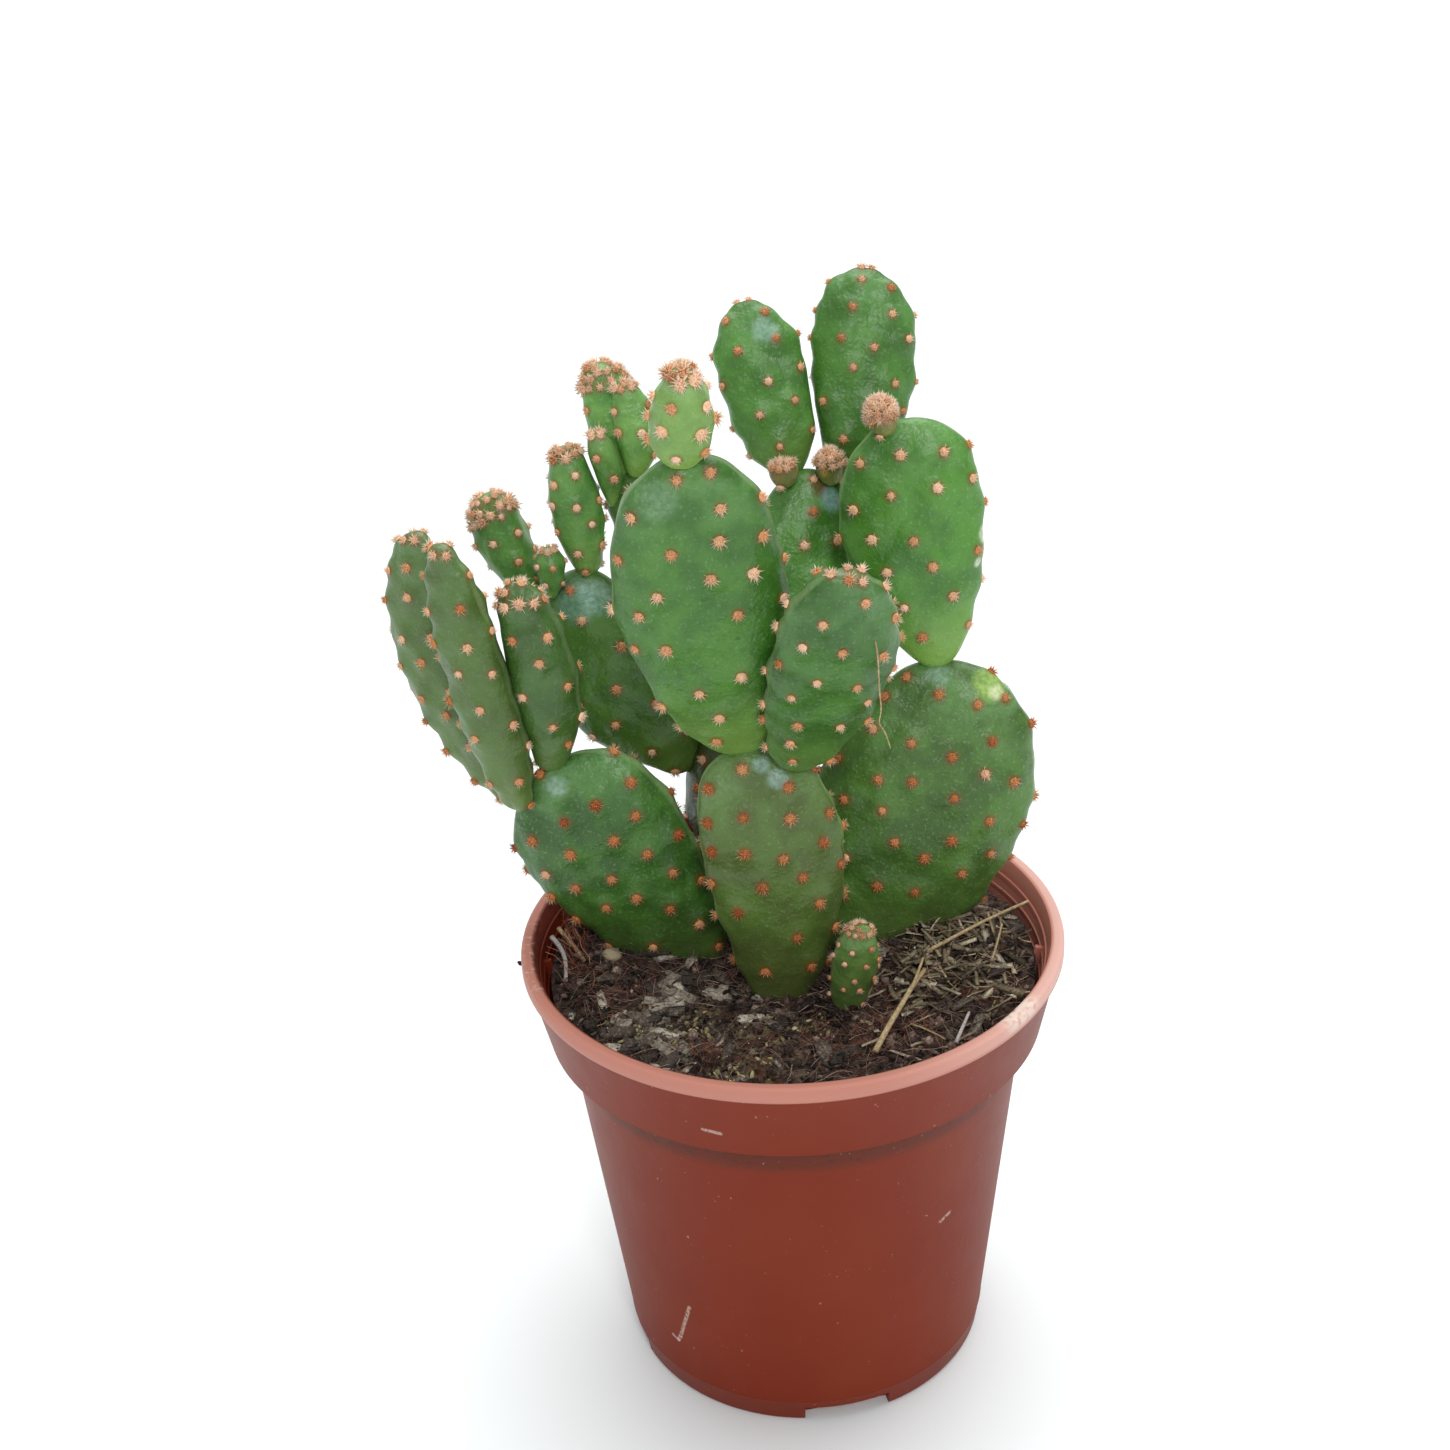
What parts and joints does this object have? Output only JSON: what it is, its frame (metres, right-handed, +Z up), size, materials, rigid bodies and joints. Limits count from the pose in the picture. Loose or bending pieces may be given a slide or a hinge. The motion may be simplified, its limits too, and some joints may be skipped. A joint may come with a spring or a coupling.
{
  "type": "potted cactus",
  "caption": "Bushy small cactus of flat oval green pads dotted with cinnamon bristle tufts, growing from dark soil in a tapered terracotta-coloured plastic pot with a wide collar.",
  "frame": {"origin": "middle of the pot's standing disc, on the surface that the pot stands on", "axes": "+Z up along the pot's axis, -Y towards the side that the picture shows, +X to the right seen from there"},
  "size_m": [0.0663, 0.055, 0.1128],
  "materials": {
    "pot_plastic": "satin moulded terracotta-coloured plastic, dusty, with lime on the lip",
    "soil": "loose dark peat with fibres",
    "bark": "dry weathered bark chips",
    "straw": "dry straw",
    "grey_straw": "weathered grey strip",
    "old_pad": "deep green waxy skin with a blue-grey bloom near the top",
    "grown_pad": "mid green waxy skin",
    "young_pad": "bright green young skin",
    "bud": "green bud in dense cinnamon fuzz",
    "bristles": "short cinnamon bristles with paler tips",
    "stone": "small pale stone"
  },
  "bodies": {
    "root": {"pot": "pot_plastic", "soil": "soil", "stout_straw": "straw", "long_straw": "straw", "left_straw": "straw", "grey_strip": "grey_straw", "low_left_pad": "old_pad", "low_front_pad": "old_pad", "low_right_pad": "old_pad", "low_back_pad": "old_pad", "front_pad": "old_pad", "right_pad": "old_pad", "shiny_pad": "old_pad", "back_pad": "old_pad", "hidden_pad": "old_pad", "front_right_pad": "grown_pad", "left_outer_pad": "grown_pad", "left_inner_pad": "grown_pad", "left_small_pad": "grown_pad", "tall_left_pad": "grown_pad", "tall_right_pad": "grown_pad", "crown_pad": "young_pad", "left_shoot": "young_pad", "slim_shoot": "young_pad", "back_shoot": "young_pad", "middle_shoot": "young_pad", "small_shoot": "young_pad", "soil_shoot": "bud", "right_bud": "bud", "left_bud": "bud", "back_left_bud": "bud", "back_right_bud": "bud"}
  },
  "joints": []
}
